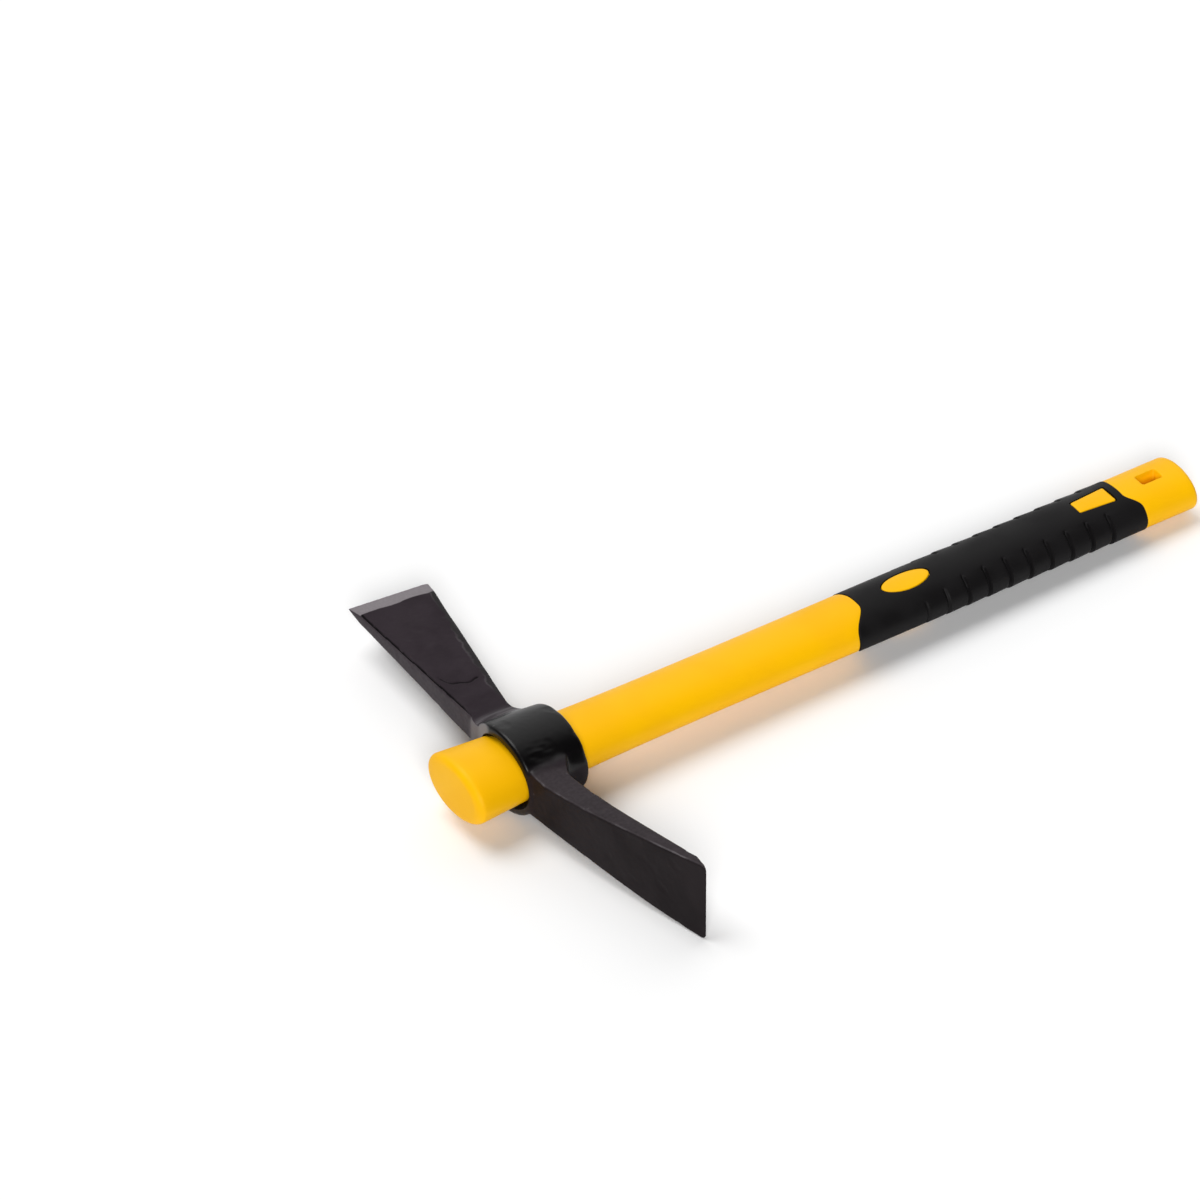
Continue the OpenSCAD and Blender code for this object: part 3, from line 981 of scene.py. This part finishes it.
class ForgedPlace:
    """Where a place of the forging is, which way it faces and how its lacquer is mottled."""

    def __init__(self, tree):
        ragged = 12
        adze_fall = (-20, -11)
        self.place = place_in(tree)
        self.facing = node(tree, "ShaderNodeNewGeometry").outputs["Normal"]
        turned = node(tree, "ShaderNodeSeparateXYZ", {0: self.facing}).outputs
        self.to_butt = turned["X"]
        self.up = turned["Z"]
        self.up_down = calc(tree, "ABSOLUTE", self.up)
        self.flat = remap(tree, self.up_down, SQUARE_ON)
        self.lengthways = reach_along(tree, self.place, (1, 0, 0))
        self.across = reach_along(tree, self.place, (0, 1, 0))
        self.above = reach_along(tree, self.place, (0, 0, 1))
        self.from_eye = calc(tree, "ABSOLUTE", self.across)
        self.patches = speckle(tree, self.place, per_metre=70.0, detail=5.0)
        self.pits = speckle(tree, self.place, per_metre=620.0, detail=4.0)
        self.ragged_across = calc(tree, "MULTIPLY_ADD", self.patches, ragged * MM, self.across)
        self.adze_side = short_of(tree, self.ragged_across, adze_fall)
        self.past_rear = self.past_rear_edge(tree)

    def past_rear_edge(self, tree):
        """How far a place lies beyond the unsteady line of the axe's rear edge."""
        unsteady = 5
        spread = (AXE_LEAN + AXE_EDGE_W - AXE_ROOT_W) / (AXE_REACH - AXE_SKEW - NECK_D)
        start = AXE_FRONT_X + AXE_ROOT_W - spread * NECK_D
        straight = past_line(tree, self.place, (1, -spread, 0), start)
        wander = speckle(tree, self.place, per_metre=160.0, detail=3.0)
        return calc(tree, "MULTIPLY_ADD", wander, unsteady * MM, straight)


def pooled_lacquer_and_shade_mask(tree, here):
    """Where the lacquer ran together round the eye, and painted shade: the same black over the round of the
    collar beside the adze.
    """
    eye_fall = (17, 24)
    side_rise, side_fall = (-24, -21.5), (-12, -8)
    top_rise, not_front = (2, 6), (-0.5, -0.2)
    # Painted shade: the upper round of the collar on the adze side is made as black as the lacquer round the
    # eye.
    round_side_shade = overlap(tree, within(tree, here.across, side_rise, side_fall),
                         beyond(tree, here.above, top_rise), remap(tree, here.to_butt, not_front),
                         remap(tree, here.up_down, SQUARE_ON, FALL))
    return either(tree, short_of(tree, here.from_eye, eye_fall), round_side_shade)


def lacquer_coat(tree, here, pooled_and_shade):
    """Colour of the lacquer: black where it ran together, thin on the blades but darker on the adze as
    painted shade, lighter on the narrow sides as painted light.
    """
    axe_rise, axe_front = (17, 22), (-0.7, -0.4)
    adze_fall = (-19, -14.5)
    rear_rise = (-0.9, -0.1)
    broad_mottle, fine_mottle = ((0.2, 0.6), (0.5, 1.0)), (PATCHY, (0.7, 1.0))
    rear_mottle = ((0.3, 0.5), (0.5, 1.0))
    axe = blend_colours(tree, remap(tree, here.patches, PATCHY), LACQUER_THIN, LACQUER_DRY)
    # Painted shade: the adze gets a darker copy of the lacquer than the axe, clouded with random tone.
    clouds = speckle(tree, here.place, per_metre=45.0, detail=3.0)
    adze = blend_colours(tree, remap(tree, clouds, PATCHY), LACQUER_ADZE_PAINTED_SHADE, LACQUER_ADZE_PAINTED_SHADE_CLOUDED)
    coat = blend_colours(tree, here.adze_side, axe, adze)
    coat = blend_colours(tree, pooled_and_shade, coat, LACQUER_POOLED_AND_SHADE)
    mottled = overlap(tree, remap(tree, here.patches, *broad_mottle), remap(tree, here.pits, *fine_mottle))
    # Painted light: the faces of the axe that look toward the head end are made lighter, mottled.
    axe_front_painted_light = overlap(tree, beyond(tree, here.across, axe_rise), remap(tree, here.to_butt, axe_front, FALL))
    coat = blend_colours(tree, overlap(tree, axe_front_painted_light, mottled), coat, LACQUER_AXE_FRONT_PAINTED_LIGHT)
    # Painted light: the flat top and underside of the adze are made lighter, mottled.
    adze_side = overlap(tree, short_of(tree, here.ragged_across, adze_fall), here.flat)
    coat = blend_colours(tree, overlap(tree, adze_side, mottled), coat, LACQUER_ADZE_FLATS_PAINTED_LIGHT)
    rear_band = overlap(tree, beyond(tree, here.past_rear, rear_rise),
                        beyond(tree, here.across, BEYOND_NECK), remap(tree, here.pits, *rear_mottle))
    return blend_colours(tree, rear_band, coat, LACQUER_GREYED)


def worn_and_painted_light_mask(tree, here):
    """Where the lacquer is lighter: painted light on the slope, painted highlight streaks on the fillet, a
    lighter line along the rear of the axe, wear on the front of the adze and on edges.
    """
    slope_rise, slope_fall = (8, 13), (28, 32)
    slope_front, slope_light_share = (-0.9, -0.6), (0.85, 0.0)
    fillet_rise, fillet_fall = (17, 20), (24, 29)
    fillet_grain, fillet_streaks, fillet_highlight_share = (50, 420, 420), (0.4, 0.62), (0.1, 0.55)
    rear_rise, rear_fall = (-1.3, -0.7), (-0.4, 0.2)
    rear_patches, rear_lightening = (0.42, 0.6), (0.0, 0.2)
    adze_front, adze_up = (-0.6, -0.35), (0.35, 0.6)
    adze_patches, adze_rub = (0.45, 0.6), (0.1, 0.6)
    edge_rub = 0.3
    # Painted light: the slope where it faces the head end.
    slope = overlap(tree, within(tree, here.across, slope_rise, slope_fall),
                    remap(tree, here.to_butt, slope_front, slope_light_share))
    # Painted highlight: light streaks along the fillet where the axe meets the collar.
    drawn = streaks(tree, here.place, fillet_grain, detail=3.0)
    fillet = overlap(tree, within(tree, here.across, fillet_rise, fillet_fall), here.flat,
                     remap(tree, drawn, fillet_streaks, fillet_highlight_share))
    rear = overlap(tree, within(tree, here.past_rear, rear_rise, rear_fall),
                   beyond(tree, here.across, BEYOND_NECK), remap(tree, here.patches, rear_patches, rear_lightening))
    adze = overlap(tree, remap(tree, here.to_butt, adze_front, FALL), remap(tree, here.up, adze_up),
                   here.adze_side, remap(tree, here.patches, adze_patches, adze_rub))
    knocked = {"Softest": 0.54, "Sharpest": 0.6, "Patch per metre": 260}
    edges = node(tree, "ShaderNodeGroup", knocked, node_tree=edge_effect).outputs["Mask"]
    return either(tree, slope, rear, fillet, adze, calc(tree, "MULTIPLY", edges, edge_rub))


def lap_shade_line(tree, here):
    """Painted shade: the dark line in the curved lap on top of the axe."""
    line_w, line_tone = (0.2 * MM, 0.9 * MM), (0.8, 0.0)
    broken = (0.3, 0.5)
    side_fade, end_fade = 2, 1
    middle = Vector((LAP_X, LAP_Y, 0)) * MM
    level = {0: in_plane(tree, here.place, (1, 1, 0)), 1: middle}
    away = node(tree, "ShaderNodeVectorMath", level, operation="DISTANCE").outputs["Value"]
    turns = calc(tree, "MULTIPLY", here.lengthways, 2 * math.pi / (LAP_WAVE_LEN * MM))
    radius = calc(tree, "MULTIPLY_ADD", calc(tree, "SINE", turns), LAP_WAVE * MM, LAP_R * MM)
    off = calc(tree, "ABSOLUTE", calc(tree, "SUBTRACT", away, radius))
    lap_end = LAP_X + LAP_END
    return overlap(tree, remap(tree, off, line_w, line_tone), remap(tree, here.patches, broken),
                   short_of(tree, here.across, (LAP_Y - side_fade, LAP_Y)),
                   short_of(tree, here.lengthways, (lap_end - end_fade, lap_end)))


def crease_and_eye_shade_mask(tree, here):
    """Painted shade: black without coat in the furrow beside the axe's edge, in the lap, and inside the eye.
    """
    edge_rise, edge_fall, edge_start = (0.3, 0.7), (1.1, 1.8), (30, 40)
    inward, eye_fall = (-6, -2), (25, 27)
    lean = AXE_LEAN / (AXE_REACH - NECK_D)
    inside = past_line(tree, here.place, (1, -lean, 0), AXE_FRONT_X - lean * NECK_D)
    furrow = overlap(tree, within(tree, inside, edge_rise, edge_fall), beyond(tree, here.across, edge_start))
    on_top = overlap(tree, either(tree, furrow, lap_shade_line(tree, here)), remap(tree, here.up, SQUARE_ON))
    outward = reach_along(tree, here.facing, in_plane(tree, here.place, (0, 1, 1)))
    # Painted shade on the inner faces of the eye, its lead-in and its rear break.
    eye_shade = overlap(tree, short_of(tree, outward, inward), short_of(tree, here.from_eye, eye_fall))
    return either(tree, on_top, eye_shade)


def ground_mask(tree, here):
    """The ground bevels: both faces of the axe's edge, and the butt side of the adze's edge."""
    wander = 4
    axe_rise, adze_fall = (1.5, 2.2), (-0.5, 0.5)
    skew = AXE_SKEW / AXE_EDGE_W
    axe_start = AXE_REACH - BEVEL + skew * (AXE_FRONT_X + AXE_LEAN)
    past_axe = past_line(tree, here.place, (skew, 1, 0), axe_start)
    past_axe = calc(tree, "MULTIPLY_ADD", here.patches, wander * MM, past_axe)
    past_adze = past_line(tree, here.place, (0, 1, 0), BEVEL - ADZE_REACH)
    axe = overlap(tree, beyond(tree, past_axe, axe_rise), here.flat)
    adze = overlap(tree, short_of(tree, past_adze, adze_fall), remap(tree, here.to_butt, SQUARE_ON))
    return either(tree, axe, adze)


def black_lacquer():
    grinding_grain = (1800, 90, 1800)
    roughness, gloss = (0.42, 0.56), (0.1, 0.5)
    fixed = {"IOR": 1.5, "Specular IOR Level": 0.03, "Coat Roughness": 0.3, "Coat IOR": 1.5}
    material, tree, surface = finish_of("black_lacquer", fixed)
    here = ForgedPlace(tree)
    pooled_and_shade = pooled_lacquer_and_shade_mask(tree, here)
    painted_crease_and_eye_shade = crease_and_eye_shade_mask(tree, here)
    # Wear, painted light and painted highlights lighten the lacquer here.
    skin = blend_colours(tree, worn_and_painted_light_mask(tree, here), lacquer_coat(tree, here, pooled_and_shade), LACQUER_WORN_AND_PAINTED_LIGHT)
    # Painted shade: the creases and the inside of the eye are made black.
    skin = blend_colours(tree, painted_crease_and_eye_shade, skin, LACQUER_POOLED_AND_SHADE)
    strokes = streaks(tree, here.place, grinding_grain, detail=3.0)
    steel = blend_colours(tree, strokes, STEEL_DARK, STEEL_LIGHT)
    colour = blend_colours(tree, ground_mask(tree, here), skin, steel)
    tree.links.new(colour, surface.inputs["Base Color"])
    tree.links.new(remap(tree, here.patches, MID_NOISE, roughness), surface.inputs["Roughness"])
    # The coat is left off where shade is painted in the creases and the eye.
    shine = overlap(tree, remap(tree, pooled_and_shade, (0.0, 1.0), gloss), calc(tree, "SUBTRACT", 1.0, painted_crease_and_eye_shade))
    tree.links.new(shine, surface.inputs["Coat Weight"])
    emboss(tree, surface, here.pits, strength=0.16, depth=0.4)
    return material


head = forge_head()
dress(head, black_lacquer())
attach(head, "root")
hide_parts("head")

# Studio: a plain white floor that the tool lies on, touching the adze and the butt, under soft light from
# above and from the head end, with the camera far off behind a long lens.
FLOOR_HALF = 15
FLOOR_TOUCH_X = 40
FLOOR_DULL = (0.95, 0.95, 0.95)
FLOOR_BRIGHT = (0.97, 0.97, 0.97)
ROOM_TURN = 150
ROOM_RISE = 35
ROOM_SPAN = (0.45, 1.0)
ROOM_DARK = (0.02, 0.02, 0.02)
ROOM_BRIGHT = (1.0, 1.0, 1.0)
CAMERA_TURN = -34.38
CAMERA_RISE = 37.98
CAMERA_AIM = Vector((107.7, 46.6, 24.8)) * MM
CAMERA_AWAY = 5835 * MM
CAMERA_LENS = 410.9
CAMERA_SENSOR = 36
CAMERA_SIGHT = 100


def towards(turn, rise):
    """Direction from the part to a place round it, from a turn about the upright and a rise above level."""
    a, e = math.radians(turn), math.radians(rise)
    return Vector((math.sin(a) * math.cos(e), -math.cos(a) * math.cos(e), math.sin(e)))


def white_card():
    material, tree, surface = finish_of("white_card", {"Specular IOR Level": 0.0, "Roughness": 0.9})
    grain = speckle(tree, place_in(tree), per_metre=3.0, detail=2.0)
    tree.links.new(blend_colours(tree, grain, FLOOR_DULL, FLOOR_BRIGHT), surface.inputs["Base Color"])
    return material


def lay_floor():
    """A floor through the lowest points of the head and of the butt."""
    low_head = Vector((FLOOR_TOUCH_X * MM, 0, head_lo.z))
    low_butt = Vector((jacket_hi.x, 0, -TAIL_H / 2 * MM))
    run = (low_butt - low_head).normalized() * FLOOR_HALF
    side = Vector((0, FLOOR_HALF, 0))
    corners = [low_head + run * x + side * y for x, y in ((-1, -1), (1, -1), (1, 1), (-1, 1))]
    mesh = bpy.data.meshes.new("floor")
    mesh.from_pydata([tuple(corner) for corner in corners], [], [(0, 1, 2, 3)])
    floor = bpy.data.objects.new("floor", mesh)
    bpy.context.scene.collection.objects.link(floor)
    dress(floor, white_card())


def add_sun(name, turn, rise, strength, spread):
    """Soft light from far off."""
    lamp = bpy.data.lights.new(name, "SUN")
    lamp.energy = strength
    lamp.angle = math.radians(spread)
    sun = bpy.data.objects.new(name, lamp)
    sun.rotation_mode = "QUATERNION"
    sun.rotation_quaternion = towards(turn, rise).to_track_quat("Z", "Y")
    bpy.context.scene.collection.objects.link(sun)


def light_room():
    """A room that is bright behind the tool and dark on the side of the camera."""
    world = bpy.data.worlds.new("studio")
    world.use_nodes = True
    tree = world.node_tree
    way = tree.nodes.new("ShaderNodeTexCoord").outputs["Generated"]
    share = reach_along(tree, way, tuple(towards(ROOM_TURN, ROOM_RISE)))
    colour = blend_colours(tree, remap(tree, share, ROOM_SPAN), ROOM_DARK, ROOM_BRIGHT)
    tree.links.new(colour, tree.nodes["Background"].inputs["Color"])
    bpy.context.scene.world = world


def stand_camera():
    """The camera, above the head end on the side of the adze."""
    lens = bpy.data.cameras.new("camera")
    lens.lens = CAMERA_LENS
    lens.sensor_width = CAMERA_SENSOR
    lens.clip_end = CAMERA_SIGHT
    camera = bpy.data.objects.new("camera", lens)
    back = towards(CAMERA_TURN, CAMERA_RISE)
    camera.location = CAMERA_AIM + back * CAMERA_AWAY
    camera.rotation_mode = "QUATERNION"
    camera.rotation_quaternion = (-back).to_track_quat("-Z", "Y")
    bpy.context.scene.collection.objects.link(camera)
    bpy.context.scene.camera = camera


lay_floor()
add_sun("overhead_light", turn=-150, rise=65, strength=1.55, spread=40)
add_sun("front_light", turn=-33, rise=31, strength=2.1, spread=25)
light_room()
stand_camera()
bpy.context.scene.view_settings.view_transform = "Standard"
